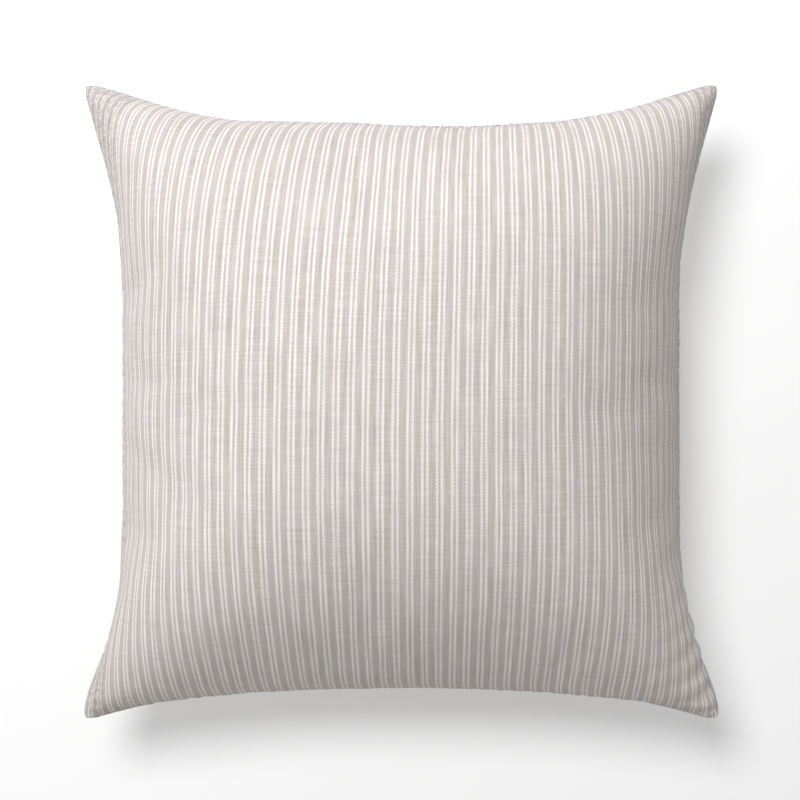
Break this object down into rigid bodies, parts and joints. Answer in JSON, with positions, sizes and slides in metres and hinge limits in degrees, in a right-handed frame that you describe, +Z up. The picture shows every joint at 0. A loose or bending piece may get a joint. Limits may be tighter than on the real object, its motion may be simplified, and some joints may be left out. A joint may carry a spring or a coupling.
{
  "type": "throw pillow",
  "caption": "Square knife-edge throw pillow in striped woven cloth, with a concealed zip in one seam and a fibre-filled insert.",
  "frame": {"origin": "centre of the pillow's outline, on the surface that its back face lies on", "axes": "+Z up out of the front face, through the crown; +X along the zipped seam, across the stripes; +Y along the stripes, away from the zipped seam"},
  "size_m": [0.466, 0.467, 0.211],
  "materials": {
    "cover_cloth": "matte",
    "sewing_thread": "matte",
    "zip_tape": "matte",
    "zip_coil": "satin",
    "zip_metal": "satin",
    "insert_lining": "matte",
    "lining_thread": "matte",
    "fibre": "matte"
  },
  "bodies": {
    "pillow": {"cover_front": "cover_cloth", "cover_back": "cover_cloth", "seam_needle_thread": "sewing_thread", "seam_bobbin_thread": "sewing_thread", "overlock_thread": "sewing_thread", "zip_tape_front": "zip_tape", "zip_tape_back": "zip_tape", "zip_coil_front": "zip_coil", "zip_coil_back": "zip_coil", "zip_stitch_front": "sewing_thread", "zip_stitch_back": "sewing_thread", "zip_stop_left": "zip_metal", "zip_stop_right": "zip_metal", "insert_shell_front": "insert_lining", "insert_shell_back": "insert_lining", "insert_seam_thread": "lining_thread", "fibre_fill": "fibre"},
    "slider": {"zip_slider": "zip_metal"},
    "pull_tab": {"zip_pull_tab": "zip_metal"}
  },
  "joints": [
    {"name": "zip_slider_travel", "type": "hinge", "parent": "pillow", "child": "slider", "pos_m": [0, -1.6275, 0.098], "axis": [0, 0, 1], "range_deg": [0, 12.14]},
    {"name": "pull_tab_swing", "type": "hinge", "parent": "slider", "child": "pull_tab", "pos_m": [0.15012, -0.21637, 0.098], "axis": [0, 0, 1], "range_deg": [0, 165]}
  ]
}
